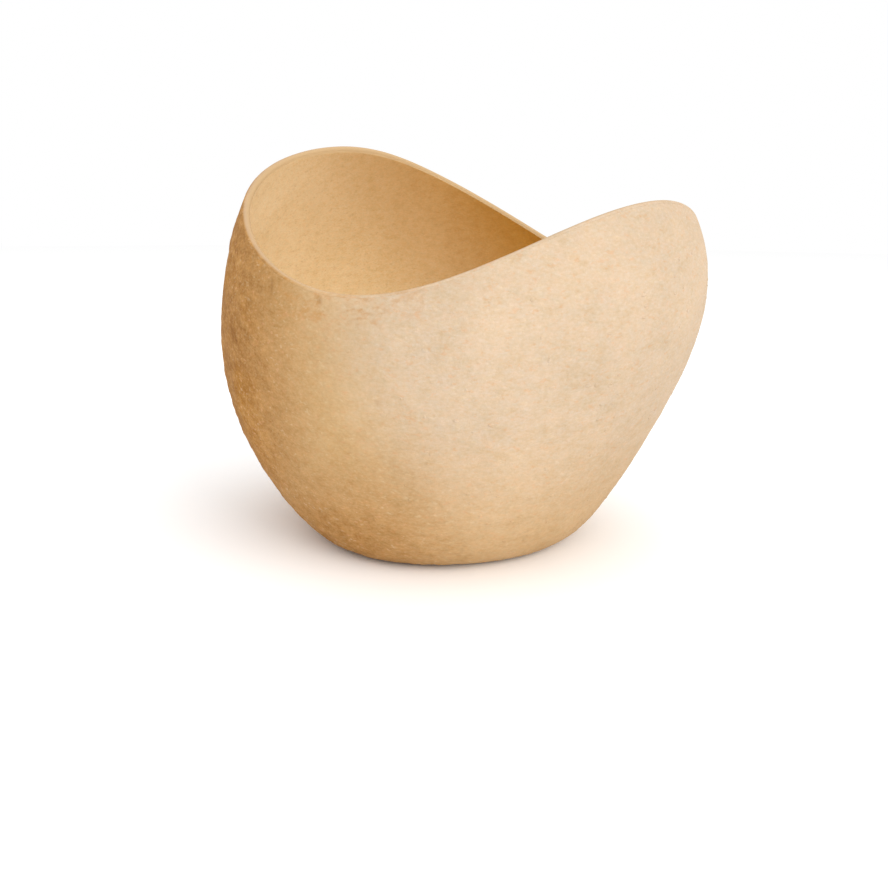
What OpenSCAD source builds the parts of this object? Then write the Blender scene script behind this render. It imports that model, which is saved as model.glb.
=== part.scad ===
// Deep moulded-pulp kidney dish with a saddle rim.
// The wall is drawn once, as a surface that runs from the flat foot up to the rim. The shell, the
// lining and the binding are all cut from that surface, so they fit each other at any size.
// +X points to the tip end and -X to the hooded heel end. The origin is the foot's centre, at z = 0.

/* [Overall] */
// Length from the heel to the tip, at their furthest reach
dish_l = 250; // [200:1:310]
// Width from side to side, at the widest
dish_w = 218; // [175:1:270]
// Height of the heel's crest above the foot
dish_h = 191; // [155:1:235]

/* [Wall] */
// Thickness of the pulp shell
shell_t = 2.8; // [2.5:0.1:5]
// Thickness of the smooth lining inside the shell
lining_t = 0.7; // [0.6:0.1:2]
// Height of the rounded binding that closes the rim
binding_h = 1.8; // [1:0.1:4]

/* [Foot] */
// Radius of the flat foot
foot_r = 53; // [44:1:65]
// Width of the shell's own level ring, round the base disc
foot_land = 7; // [3:1:14]
// Level run of the wall past the foot before it turns up
foot_run = 26; // [20:1:34]
// Glue line between the base disc and the shell
glue_gap = 0.1; // [0.05:0.05:0.4]

/* [Form: tip end, front quarter, back quarter, heel end] */
// Reach of the belly's control points from the centre line
belly_reach = [81, 73, 93, 152]; // [60:1:180]
// Height of the belly's control points
belly_rise = [50, 12, 20, 64]; // [10:1:80]
// Reach of the shoulder's control points
shoulder_reach = [142, 125, 128, 156]; // [110:1:190]
// Height of the shoulder's control points
shoulder_rise = [100, 93, 95, 102]; // [75:1:125]
// Reach of the rim
rim_reach = [115, 109, 97, 70]; // [55:1:140]
// Height of the rim
rim_rise = [161, 126, 164, 191]; // [115:1:215]

/* [Hidden] */

ring_steps = 64;     // sections round the dish
wall_steps = 15;     // rows from the foot to the rim
bead_steps = 8;      // points over the binding's rounded top
probe_step = 0.05;   // spacing used to measure the form
slope_step = 0.5;    // degrees either side, to find the surface's slope round the dish

wall_t = shell_t + lining_t;
base_r = foot_r - foot_land;
turns = [for (i = [0 : ring_steps - 1]) 360 * i / ring_steps];
rows = [for (i = [0 : wall_steps]) i / wall_steps];
// The shell's bottom hole is a polygon, so its flats clear the round disc by the glue line.
hole_r = (base_r + glue_gap) / cos(180 / ring_steps);

// ---- the form ----------------------------------------------------------------------------

// A value that changes smoothly round the dish, as the sum of four cosine waves that passes
// through its four stations at 0, 60, 120 and 180 degrees. Both sides of the dish are alike.
function wave(v, k) =
    let (share = (k == 0 || k == 3) ? 1 / 3 : 2 / 3)
    share * (v[0] / 2 + v[1] * cos(60 * k) + v[2] * cos(120 * k) + v[3] * cos(180 * k) / 2);
function around(v, a) =
    wave(v, 0) + wave(v, 1) * cos(a) + wave(v, 2) * cos(2 * a) + wave(v, 3) * cos(3 * a);

function unit(v) = v / norm(v);

// The five control points of the meridian at angle a, as [reach, height]. The last one is drawn
// back by the binding, so the binding's top stands where the rim is meant to be.
function meridian(a, foot_scale) =
    let (
        shoulder = [around(shoulder_reach, a), around(shoulder_rise, a)],
        rim = [around(rim_reach, a), around(rim_rise, a)],
        wall_end = rim - binding_h * unit(rim - shoulder)
    )
    [
        [foot_r * foot_scale, 0],
        [(foot_r + foot_run) * foot_scale, 0],
        [around(belly_reach, a), around(belly_rise, a)],
        shoulder,
        wall_end
    ];

// Point on the curve of the control points p, at t from 0 to 1
function curve(p, t) =
    len(p) == 1 ? p[0]
    : curve([for (i = [0 : len(p) - 2]) p[i] * (1 - t) + p[i + 1] * t], t);

// Direction of that curve at t
function curve_slope(p, t) = curve([for (i = [0 : len(p) - 2]) (p[i + 1] - p[i]) * (len(p) - 1)], t);

// Furthest reach of the form along the tip, the heel and one side
function reach_at(a) = max([for (t = [0 : probe_step : 1]) curve(meridian(a, 1), t)[0]]);
form_l = reach_at(0) + reach_at(180);
form_w = 2 * max([for (a = [45 : 3 : 135]) reach_at(a) * sin(a)]);
form_h = max(rim_rise);

// The form is stretched to the overall sizes, while the foot stays round at its own radius.
stretch = [dish_l / form_l, dish_w / form_w, dish_h / form_h];
function foot_scale_at(a) = 1 / norm([stretch[0] * cos(a), stretch[1] * sin(a)]);
function place(p, a) = [p[0] * cos(a) * stretch[0], p[0] * sin(a) * stretch[1], p[1] * stretch[2]];

// ---- the wall's surface ------------------------------------------------------------------

// Point on the outer face of the wall
function wall_point(a, t) = place(curve(meridian(a, foot_scale_at(a)), t), a);
// Direction up the wall
function wall_up(a, t) = unit(place(curve_slope(meridian(a, foot_scale_at(a)), t), a));
// Direction round the wall
function wall_round(a, t) = wall_point(a + slope_step, t) - wall_point(a - slope_step, t);
// Direction out of the wall
function wall_out(a, t) = unit(cross(wall_round(a, t), wall_up(a, t)));
// Point at a depth below the outer face
function inside(a, t, depth) = wall_point(a, t) - depth * wall_out(a, t);

// ---- solids from sections ----------------------------------------------------------------

function flat(lists) = [for (l = lists) for (p = l) p];
function reversed(v) = [for (i = [len(v) - 1 : -1 : 0]) v[i]];

// A solid through equal sections round the dish. A closed section makes a ring, and an open one
// is closed by flat ends. turned says that the section runs from the lining side to the outside.
// Each four-sided patch is split from its section's earlier point, so that two sub-parts that
// share a face also share its split, and meet with no gap or overlap.
module loft(sections, closed, turned) {
    n = len(sections);
    m = len(sections[0]);
    last = closed ? m - 1 : m - 2;
    sides = [
        for (j = [0 : n - 1]) for (i = [0 : last])
            let (
                a = j * m + i,
                b = j * m + (i + 1) % m,
                c = ((j + 1) % n) * m + (i + 1) % m,
                d = ((j + 1) % n) * m + i
            )
            each (i < m - 1 ? [[a, b, c], [a, c, d]] : [[a, b, d], [b, c, d]])
    ];
    first_end = [for (j = [0 : n - 1]) j * m];
    last_end = [for (j = [n - 1 : -1 : 0]) j * m + m - 1];
    faces = closed ? sides : concat(sides, [first_end, last_end]);
    polyhedron(flat(sections), turned ? [for (f = faces) reversed(f)] : faces, convexity = 6);
}

// ---- sub-parts ---------------------------------------------------------------------------

// The coarse pulp wall, open at the bottom where the base disc fits
module outer_shell() {
    color([0.86, 0.70, 0.52])
        loft([
            for (a = turns) concat(
                [for (t = rows) inside(a, t, shell_t)],
                [for (t = reversed(rows)) wall_point(a, t)],
                [for (z = [0, shell_t]) [hole_r * cos(a), hole_r * sin(a), z]]
            )
        ], closed = true, turned = true);
}

// The flat disc glued into the shell's bottom, which the dish stands on
module base_disc() {
    color([0.78, 0.61, 0.43])
        cylinder(h = shell_t, r = base_r, $fn = 96);
}

// The smooth skin over the whole of the inside
module inner_lining() {
    color([0.84, 0.66, 0.42])
        loft([
            for (a = turns) concat(
                [for (t = rows) inside(a, t, shell_t)],
                [for (t = reversed(rows)) inside(a, t, wall_t)]
            )
        ], closed = false, turned = false);
}

// The pale rounded strip that closes the edges of the shell and the lining
module rim_binding() {
    color([0.93, 0.80, 0.66])
        loft([
            for (a = turns)
                let (
                    outer = wall_point(a, 1),
                    middle = inside(a, 1, wall_t / 2),
                    rise = binding_h * wall_up(a, 1)
                )
                concat(
                    [inside(a, 1, shell_t)],
                    [
                        for (i = [0 : bead_steps])
                            let (turn = 180 * i / bead_steps)
                            middle - (outer - middle) * cos(turn) + rise * sin(turn)
                    ]
                )
        ], closed = true, turned = true);
}

outer_shell();
base_disc();
inner_lining();
rim_binding();
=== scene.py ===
"""Looks for a deep moulded-pulp kidney dish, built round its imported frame.

The dish is one wall that runs from a round foot up to a saddle-shaped rim. Geometry Nodes place every
point of the wall from its angle round the dish and its climb from the foot, so the shell, the lining
and the binding follow one surface. A second tree raises the pulp's lumps, creases and dents.
"""

import logging
import math
from collections.abc import Iterable
from dataclasses import dataclass, field, fields
from enum import Enum

import bmesh
import bpy
import numpy as np
from mathutils import Matrix, Vector


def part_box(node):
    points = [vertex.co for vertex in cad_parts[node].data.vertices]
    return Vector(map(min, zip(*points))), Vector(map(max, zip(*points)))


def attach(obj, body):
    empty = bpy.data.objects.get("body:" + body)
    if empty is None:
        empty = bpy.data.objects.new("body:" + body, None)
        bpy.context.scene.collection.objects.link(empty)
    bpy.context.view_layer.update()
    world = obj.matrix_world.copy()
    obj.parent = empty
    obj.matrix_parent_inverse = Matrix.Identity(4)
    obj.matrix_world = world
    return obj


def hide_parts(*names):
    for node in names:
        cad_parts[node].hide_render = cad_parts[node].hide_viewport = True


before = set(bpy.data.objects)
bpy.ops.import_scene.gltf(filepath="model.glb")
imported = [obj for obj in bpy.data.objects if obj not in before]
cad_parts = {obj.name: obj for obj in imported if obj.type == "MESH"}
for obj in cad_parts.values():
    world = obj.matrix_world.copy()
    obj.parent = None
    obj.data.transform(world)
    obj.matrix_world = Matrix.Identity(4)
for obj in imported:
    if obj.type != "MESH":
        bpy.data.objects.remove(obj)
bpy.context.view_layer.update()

log = logging.getLogger("kidney_dish")

MM = 0.001
EDGE_STEP = 0.0008
BODY = "root"

Colour = tuple[float, float, float]
Socket = bpy.types.NodeSocket
Value = Socket | float | int | tuple | bool | str
Stage = tuple[bpy.types.NodeTree, dict[str, Value]]


class Part(Enum):
    """The dish's sub-parts, by the name of the CAD node that each one stands for."""

    SHELL = "outer_shell"
    DISC = "base_disc"
    LINING = "inner_lining"
    BINDING = "rim_binding"


class Slot(Enum):
    """The record's material slots."""

    PULP = "pulp"
    BOARD = "base_board"
    LINING = "lining"
    BINDING = "binding"


class Trait(Enum):
    """Values stored on each point of the wall, which place it and say how rough it is."""

    TURN = "turn"
    CLIMB = "climb"
    DEPTH = "depth"
    RISE = "rise"
    INWARD = "inward"
    RELIEF = "relief"
    HOLLOW = "hollow"


KEPT_TRAITS = (Trait.CLIMB, Trait.DEPTH, Trait.RISE, Trait.HOLLOW)


# ---- node trees ----------------------------------------------------------------------------------


class Graph:
    """Adds nodes to a node tree and links them."""

    def __init__(self, tree: bpy.types.NodeTree) -> None:
        """Keeps the tree that the nodes go into.

        Args:
            tree: The shader or geometry node tree to fill.
        """
        self.tree = tree

    def feed(self, socket: Socket, value: Value) -> None:
        """Links a socket to another one, or sets its plain value.

        Args:
            socket: The input socket.
            value: An output socket to link, or a value to set.
        """
        if isinstance(value, bpy.types.NodeSocket):
            self.tree.links.new(value, socket)
        elif socket.type == "RGBA" and len(value) == 3:
            socket.default_value = (*value, 1.0)
        else:
            socket.default_value = value

    def node(
        self, kind: str, inputs: dict[str | int, Value] | None = None, **settings: object
    ) -> bpy.types.Node:
        """Adds one node.

        Args:
            kind: The node's type name.
            inputs: Values or links, by the input's name or number.
            **settings: The node's own properties.

        Returns:
            The new node.
        """
        made = self.tree.nodes.new(kind)
        for name, value in settings.items():
            setattr(made, name, value)
        for key, value in (inputs or {}).items():
            self.feed(made.inputs[key], value)
        return made

    def math(self, operation: str, *values: Value, clamp: bool = False) -> Socket:
        """Adds a Math node and returns its output."""
        inputs = dict(enumerate(values))
        made = self.node("ShaderNodeMath", inputs, operation=operation, use_clamp=clamp)
        return made.outputs[0]

    def vector(self, operation: str, *values: Value) -> Socket:
        """Adds a Vector Math node and returns its vector output."""
        made = self.node("ShaderNodeVectorMath", dict(enumerate(values)), operation=operation)
        return made.outputs["Vector"]

    def measure(self, operation: str, *values: Value) -> Socket:
        """Adds a Vector Math node and returns its number output."""
        made = self.node("ShaderNodeVectorMath", dict(enumerate(values)), operation=operation)
        return made.outputs["Value"]

    def scaled(self, vector: Value, factor: Value) -> Socket:
        """Returns a vector times a number."""
        made = self.node("ShaderNodeVectorMath", {"Vector": vector, "Scale": factor}, operation="SCALE")
        return made.outputs["Vector"]

    def combine(self, x: Value, y: Value, z: Value) -> Socket:
        """Returns a vector made of three numbers."""
        return self.node("ShaderNodeCombineXYZ", {0: x, 1: y, 2: z}).outputs[0]

    def between(self, factor: Value, first: Value, second: Value) -> Socket:
        """Returns the point part of the way from one vector to another, also past either end."""
        inputs = {0: factor, 4: first, 5: second}
        made = self.node("ShaderNodeMix", inputs, data_type="VECTOR", clamp_factor=False)
        return made.outputs[1]

    def blend(self, factor: Value, first: Value, second: Value, mode: str = "MIX") -> Socket:
        """Returns one colour mixed over another."""
        inputs = {0: factor, 6: first, 7: second}
        made = self.node("ShaderNodeMix", inputs, data_type="RGBA", blend_type=mode)
        return made.outputs[2]

    def tinted(self, colour: Value, tint: Value) -> Socket:
        """Returns a colour multiplied by a tint."""
        return self.blend(1.0, colour, tint, mode="MULTIPLY")

    def product(self, *values: Value) -> Socket:
        """Returns the product of two or more numbers."""
        total = self.math("MULTIPLY", values[0], values[1])
        for value in values[2:]:
            total = self.math("MULTIPLY", total, value)
        return total

    def span(
        self, value: Value, low: float, high: float, to_low: float = 0.0, to_high: float = 1.0
    ) -> Socket:
        """Returns a value carried smoothly from one range to another, and held at its ends."""
        made = self.node(
            "ShaderNodeMapRange",
            {"Value": value, "From Min": low, "From Max": high, "To Min": to_low, "To Max": to_high},
            interpolation_type="SMOOTHSTEP",
        )
        return made.outputs["Result"]

    def noise(
        self, vector: Value, size: Value, seed: Value, detail: float = 2.0, rough: float = 0.5
    ) -> Socket:
        """Adds noise whose features are about one size across.

        Args:
            vector: Where the noise is read.
            size: Distance across one feature, in metres.
            seed: Picks one pattern of many.
            detail: How many finer layers are added.
            rough: How strong each finer layer is.

        Returns:
            The noise, from 0 to 1.
        """
        scale = self.math("DIVIDE", 1.0, size)
        made = self.node(
            "ShaderNodeTexNoise",
            {"Vector": vector, "W": seed, "Scale": scale, "Detail": detail, "Roughness": rough},
            noise_dimensions="4D",
        )
        return made.outputs[0]

    def trait(self, trait: Trait) -> Socket:
        """Returns a value stored on the wall's points, in a geometry tree."""
        made = self.node("GeometryNodeInputNamedAttribute", {"Name": trait.value}, data_type="FLOAT")
        return made.outputs["Attribute"]


def new_tree(
    name: str, kind: str, inputs: dict[str, str], outputs: dict[str, str]
) -> tuple[Graph, bpy.types.Node, bpy.types.Node]:
    """Makes an empty node tree with named sockets.

    Args:
        name: The tree's name.
        kind: Its type, for shaders or for geometry.
        inputs: The type of each input socket, by name.
        outputs: The type of each output socket, by name.

    Returns:
        The tree's graph, its input node and its output node.
    """
    tree = bpy.data.node_groups.new(name, kind)
    for in_out, sockets in (("INPUT", inputs), ("OUTPUT", outputs)):
        for label, socket_type in sockets.items():
            full_type = f"NodeSocket{socket_type}"
            tree.interface.new_socket(name=label, in_out=in_out, socket_type=full_type)
    start = tree.nodes.new("NodeGroupInput")
    end = tree.nodes.new("NodeGroupOutput")
    return Graph(tree), start, end


# ---- the form of the wall --------------------------------------------------------------------------


@dataclass
class DishForm:
    """The surface of the dish's wall, as meridians that change smoothly round the dish.

    Each row of four values stands at the tip end, the front quarter, the back quarter and the heel end.
    """

    belly_reach: tuple[float, ...] = (0.081, 0.073, 0.093, 0.152)
    belly_rise: tuple[float, ...] = (0.050, 0.012, 0.020, 0.064)
    shoulder_reach: tuple[float, ...] = (0.142, 0.125, 0.128, 0.156)
    shoulder_rise: tuple[float, ...] = (0.100, 0.093, 0.095, 0.102)
    rim_reach: tuple[float, ...] = (0.115, 0.109, 0.097, 0.070)
    rim_rise: tuple[float, ...] = (0.161, 0.126, 0.164, 0.191)
    foot_land: float = 7.0 * MM
    foot_run: float = 26.0 * MM
    glue_gap: float = 0.1 * MM
    binding_h: float = 1.8 * MM
    shell_t: float = field(init=False)
    lining_t: float = field(init=False)
    foot_r: float = field(init=False)
    stretch: Vector = field(init=False)

    WAVED = ("belly_reach", "belly_rise", "shoulder_reach", "shoulder_rise", "rim_reach", "rim_rise")

    def __post_init__(self) -> None:
        """Takes the thicknesses, the foot and the overall sizes from the frame."""
        shell_low, shell_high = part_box(Part.SHELL.value)
        _, disc_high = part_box(Part.DISC.value)
        self.shell_t = disc_high.z
        self.foot_r = disc_high.x + self.foot_land
        self.lining_t = self.measure_lining()
        quarter = np.linspace(math.pi / 4, 3 * math.pi / 4, 61)
        length = self.reach(0.0) + self.reach(math.pi)
        width = 2 * max(self.reach(a) * math.sin(a) for a in quarter)
        shell = shell_high - shell_low
        self.stretch = Vector((shell.x / length, shell.y / width, 1.0))

    def measure_lining(self) -> float:
        """Returns the lining's thickness, from the height of the CAD lining's floor."""
        points = [v.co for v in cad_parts[Part.LINING.value].data.vertices]
        floor = [p.z for p in points if math.hypot(p.x, p.y) < self.foot_r + self.glue_gap]
        return max(floor) - min(floor)

    @property
    def wall_t(self) -> float:
        """Thickness of the whole wall."""
        return self.shell_t + self.lining_t

    def waves(self, name: str) -> tuple[float, tuple[float, float, float]]:
        """Splits four values round the dish into a mean and three cosine waves.

        Args:
            name: The field that holds the four values.

        Returns:
            The mean, and the sizes of the first, second and third wave.
        """
        tip, front, back, heel = getattr(self, name)
        third = math.pi / 3
        sizes = []
        for k in range(4):
            share = 1 / 3 if k in (0, 3) else 2 / 3
            total = tip / 2 + front * math.cos(third * k) + back * math.cos(2 * third * k)
            sizes.append(share * (total + heel * math.cos(math.pi * k) / 2))
        return sizes[0], (sizes[1], sizes[2], sizes[3])

    def around(self, name: str, angle: float) -> float:
        """Returns one of the four-station values at an angle round the dish."""
        mean, sizes = self.waves(name)
        return mean + sum(size * math.cos((k + 1) * angle) for k, size in enumerate(sizes))

    def reach(self, angle: float) -> float:
        """Returns the furthest reach of the unstretched wall at an angle."""
        reaches = [self.foot_r, self.foot_r + self.foot_run]
        reaches += [self.around(name, angle) for name in ("belly_reach", "shoulder_reach", "rim_reach")]
        return max(
            sum(math.comb(4, k) * (1 - t) ** (4 - k) * t**k * reach for k, reach in enumerate(reaches))
            for t in np.linspace(0, 1, 101)
        )


class WallTree:
    """Geometry Nodes that put each point of a section mesh in its place on the wall."""

    ANGLE_STEP = math.radians(0.5)
    CLIMB_STEP = 0.002
    WELD = 0.005 * MM

    def __init__(self, form: DishForm) -> None:
        """Builds the tree.

        Args:
            form: The wall's form, whose sizes are the tree's inputs.
        """
        self.form = form
        self.sizes = {f"{name} mean": "Float" for name in form.WAVED}
        self.sizes |= {f"{name} waves": "Vector" for name in form.WAVED}
        self.sizes |= {name: "Float" for name in ("foot radius", "foot run", "binding height")}
        self.sizes |= {"stretch": "Vector"}
        self.point_tree = self.build_point_tree()
        self.tree = self.build_tree()

    def build_point_tree(self) -> bpy.types.NodeTree:
        """Builds the group that turns an angle and a climb into a point of the wall's outer face.

        Returns:
            The node group.
        """
        sockets = {"angle": "Float", "climb": "Float"} | self.sizes
        graph, start, end = new_tree("wall_point", "GeometryNodeTree", sockets, {"point": "Vector"})
        angle, stretch = start.outputs["angle"], start.outputs["stretch"]
        cos, sin = graph.math("COSINE", angle), graph.math("SINE", angle)
        twice, thrice = (graph.math("COSINE", graph.product(angle, k)) for k in (2.0, 3.0))
        cosines = graph.combine(cos, twice, thrice)

        def around(name: str) -> Socket:
            """Returns a four-station value at this angle."""
            waves = graph.measure("DOT_PRODUCT", start.outputs[f"{name} waves"], cosines)
            return graph.math("ADD", start.outputs[f"{name} mean"], waves)

        direction = graph.vector("MULTIPLY", graph.combine(cos, sin, 0.0), stretch)
        foot_scale = graph.math("DIVIDE", 1.0, graph.measure("LENGTH", direction))
        foot = graph.product(start.outputs["foot radius"], foot_scale)
        run = graph.product(start.outputs["foot run"], foot_scale)
        belly, shoulder, rim = (
            graph.combine(around(f"{place}_reach"), 0.0, around(f"{place}_rise"))
            for place in ("belly", "shoulder", "rim")
        )
        last_leg = graph.vector("NORMALIZE", graph.vector("SUBTRACT", rim, shoulder))
        drawn_back = graph.scaled(last_leg, start.outputs["binding height"])
        wall_end = graph.vector("SUBTRACT", rim, drawn_back)
        points = [
            graph.combine(foot, 0.0, 0.0),
            graph.combine(graph.math("ADD", foot, run), 0.0, 0.0),
            belly,
            shoulder,
            wall_end,
        ]
        while len(points) > 1:
            points = [graph.between(start.outputs["climb"], a, b) for a, b in zip(points, points[1:])]
        parts = graph.node("ShaderNodeSeparateXYZ", {0: points[0]})
        reach, height = parts.outputs["X"], parts.outputs["Z"]
        placed = graph.combine(graph.product(reach, cos), graph.product(reach, sin), height)
        graph.feed(end.inputs["point"], graph.vector("MULTIPLY", placed, stretch))
        return graph.tree

    def build_tree(self) -> bpy.types.NodeTree:
        """Builds the modifier's tree, which offsets each point by its depth, rise and inward run.

        Returns:
            The node tree.
        """
        sockets = {"mesh": "Geometry"} | self.sizes
        graph, start, end = new_tree("dish_wall", "GeometryNodeTree", sockets, {"mesh": "Geometry"})
        turn, climb = graph.trait(Trait.TURN), graph.trait(Trait.CLIMB)

        def point(turned: float, climbed: float) -> Socket:
            """Returns the wall's point at a small step from this one."""
            made = graph.node("GeometryNodeGroup", node_tree=self.point_tree)
            graph.feed(made.inputs["angle"], graph.math("ADD", turn, turned))
            graph.feed(made.inputs["climb"], graph.math("ADD", climb, climbed))
            for name in self.sizes:
                graph.feed(made.inputs[name], start.outputs[name])
            return made.outputs["point"]

        here = point(0.0, 0.0)
        along = graph.vector("SUBTRACT", point(self.ANGLE_STEP, 0.0), point(-self.ANGLE_STEP, 0.0))
        climbing = graph.vector("SUBTRACT", point(0.0, self.CLIMB_STEP), point(0.0, -self.CLIMB_STEP))
        up = graph.vector("NORMALIZE", climbing)
        out = graph.vector("NORMALIZE", graph.vector("CROSS_PRODUCT", along, up))
        radial = graph.vector("NORMALIZE", graph.vector("MULTIPLY", here, (1.0, 1.0, 0.0)))
        moved = graph.vector("SUBTRACT", here, graph.scaled(out, graph.trait(Trait.DEPTH)))
        moved = graph.vector("ADD", moved, graph.scaled(up, graph.trait(Trait.RISE)))
        moved = graph.vector("SUBTRACT", moved, graph.scaled(radial, graph.trait(Trait.INWARD)))
        mesh = start.outputs["mesh"]
        placed = graph.node("GeometryNodeSetPosition", {"Geometry": mesh, "Position": moved})
        near = {"Geometry": placed.outputs["Geometry"], "Distance": self.WELD}
        welded = graph.node("GeometryNodeMergeByDistance", near)
        graph.feed(end.inputs["mesh"], welded.outputs["Geometry"])
        return graph.tree

    def inputs(self) -> dict[str, Value]:
        """Returns the value of each named input, from the form."""
        values: dict[str, Value] = {
            "foot radius": self.form.foot_r,
            "foot run": self.form.foot_run,
            "binding height": self.form.binding_h,
            "stretch": tuple(self.form.stretch),
        }
        for name in self.form.WAVED:
            values[f"{name} mean"], values[f"{name} waves"] = self.form.waves(name)
        return values


@dataclass(frozen=True)
class Relief:
    """How rough a pulp face is: the size and height of each kind of mark, in metres."""

    broad_size: float = 34 * MM
    broad_height: float = 0.45 * MM
    lump_size: float = 5.5 * MM
    lump_height: float = 0.50 * MM
    crease_size: float = 11 * MM
    crease_depth: float = 0.30 * MM
    crease_top: float = 0.55
    dent_depth: float = 0.7 * MM
    seed: float = 7.0


@dataclass(frozen=True)
class Dent:
    """A small dent in the shell: where it lies, how far it reaches, and how deep it is."""

    turn: float
    climb: float
    across: float
    along: float
    depth: float = 1.0


class ReliefTree:
    """Geometry Nodes that raise the pulp's lumps, creases and dents, and set the material."""

    CREASE_FLATTEN = (1.0, 1.0, 2.6)
    CREASE_WIDTH = 0.035
    CREASE_STAIN = 0.6
    CREASE_PATCH = (0.45, 0.6)
    PATCH_OVER_CREASE = 3.0
    GROUP_OVER_LUMP = 5.0
    GROUP_SPAN = (0.38, 0.62, 0.4, 1.0)
    LUMP_SPAN = (0.42, 0.78)
    COARSE_SIDE = (-0.72, -0.69, -0.9)
    COARSE_SPAN = (-0.14, 0.0, 0.55, 1.5)
    LUMP_SEED = 11.0
    CREASE_SEED = 23.0

    SIZES = {size.name.replace("_", " "): size.name for size in fields(Relief)}

    def __init__(self, dents: list[Dent]) -> None:
        """Builds the tree.

        Args:
            dents: The dents that it presses into the shell.
        """
        self.dents = dents
        self.tree = self.build()

    def build(self) -> bpy.types.NodeTree:
        """Builds the modifier's tree.

        Returns:
            The node tree.
        """
        sockets = {"mesh": "Geometry"} | {name: "Float" for name in self.SIZES}
        sockets |= {"material": "Material"}
        graph, start, end = new_tree("pulp_relief", "GeometryNodeTree", sockets, {"mesh": "Geometry"})
        place = graph.node("GeometryNodeInputPosition").outputs[0]
        normal = graph.node("GeometryNodeInputNormal").outputs[0]
        height = self.undulation(graph, start, place)
        height = graph.math("ADD", height, self.lumps(graph, start, place))
        creases = self.creases(graph, start, place)
        pressed = self.pressed(graph)
        for hollow, depth in ((creases, "crease depth"), (pressed, "dent depth")):
            height = graph.math("SUBTRACT", height, graph.product(hollow, start.outputs[depth]))
        height = graph.product(height, graph.trait(Trait.RELIEF))
        # The hollow mask darkens the colour: partly dirt and partly painted shade in creases and dents.
        crease_dirt_and_shade = graph.product(creases, self.CREASE_STAIN)
        stored = graph.node(
            "GeometryNodeStoreNamedAttribute",
            {
                "Geometry": start.outputs["mesh"],
                "Name": Trait.HOLLOW.value,
                "Value": graph.math("ADD", crease_dirt_and_shade, pressed, clamp=True),
            },
            data_type="FLOAT",
            domain="POINT",
        )
        moved = graph.node(
            "GeometryNodeSetPosition",
            {"Geometry": stored.outputs["Geometry"], "Offset": graph.scaled(normal, height)},
        )
        whole = graph.node("GeometryNodeRealizeInstances", {"Geometry": moved.outputs["Geometry"]})
        dressed = graph.node(
            "GeometryNodeSetMaterial",
            {"Geometry": whole.outputs["Geometry"], "Material": start.outputs["material"]},
        )
        graph.feed(end.inputs["mesh"], dressed.outputs["Geometry"])
        return graph.tree

    @staticmethod
    def undulation(graph: Graph, start: bpy.types.Node, place: Socket) -> Socket:
        """Returns the wall's slow waviness, up and down."""
        noise = graph.noise(place, start.outputs["broad size"], start.outputs["seed"], 1.5)
        swing = graph.product(graph.math("SUBTRACT", noise, 0.5), 2.0)
        return graph.product(swing, start.outputs["broad height"])

    def lumps(self, graph: Graph, start: bpy.types.Node, place: Socket) -> Socket:
        """Returns the low lumps of clotted fibre, which stand in loose groups."""
        seed = graph.math("ADD", start.outputs["seed"], self.LUMP_SEED)
        grain = graph.noise(place, start.outputs["lump size"], seed, 3.0, 0.55)
        group_size = graph.product(start.outputs["lump size"], self.GROUP_OVER_LUMP)
        group = graph.span(graph.noise(place, group_size, seed, 1.0), *self.GROUP_SPAN)
        coarse = graph.span(graph.measure("DOT_PRODUCT", place, self.COARSE_SIDE), *self.COARSE_SPAN)
        lump = graph.span(grain, *self.LUMP_SPAN)
        return graph.product(group, coarse, lump, start.outputs["lump height"])

    def creases(self, graph: Graph, start: bpy.types.Node, place: Socket) -> Socket:
        """Returns where the thin level creases run, which gather towards the foot."""
        seed = graph.math("ADD", start.outputs["seed"], self.CREASE_SEED)
        flattened = graph.vector("MULTIPLY", place, self.CREASE_FLATTEN)
        noise = graph.noise(flattened, start.outputs["crease size"], seed, 2.0)
        away = graph.math("ABSOLUTE", graph.math("SUBTRACT", noise, 0.5))
        line = graph.span(away, 0.0, self.CREASE_WIDTH, 1.0, 0.0)
        patch_size = graph.product(start.outputs["crease size"], self.PATCH_OVER_CREASE)
        patch = graph.span(graph.noise(place, patch_size, seed), *self.CREASE_PATCH)
        share = graph.math("DIVIDE", graph.trait(Trait.CLIMB), start.outputs["crease top"])
        low = graph.math("SUBTRACT", 1.0, share, clamp=True)
        return graph.product(line, patch, low)

    def pressed(self, graph: Graph) -> Socket:
        """Returns where the dents lie, each one a smooth hollow, from 0 at its edge to 1."""
        total: Value = 0.0
        turn, climb = graph.trait(Trait.TURN), graph.trait(Trait.CLIMB)
        for dent in self.dents:
            across = graph.math("DIVIDE", graph.math("SUBTRACT", turn, dent.turn), dent.across)
            along = graph.math("DIVIDE", graph.math("SUBTRACT", climb, dent.climb), dent.along)
            spread = graph.math("ADD", graph.product(across, across), graph.product(along, along))
            hollow = graph.math("EXPONENT", graph.product(spread, -1.0))
            total = graph.math("ADD", total, graph.product(hollow, dent.depth))
        return total

    def stage(self, relief: Relief, material: bpy.types.Material) -> Stage:
        """Returns the tree with its inputs' values, from a relief and a material."""
        values = {name: getattr(relief, attribute) for name, attribute in self.SIZES.items()}
        return self.tree, values | {"material": material}


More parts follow.
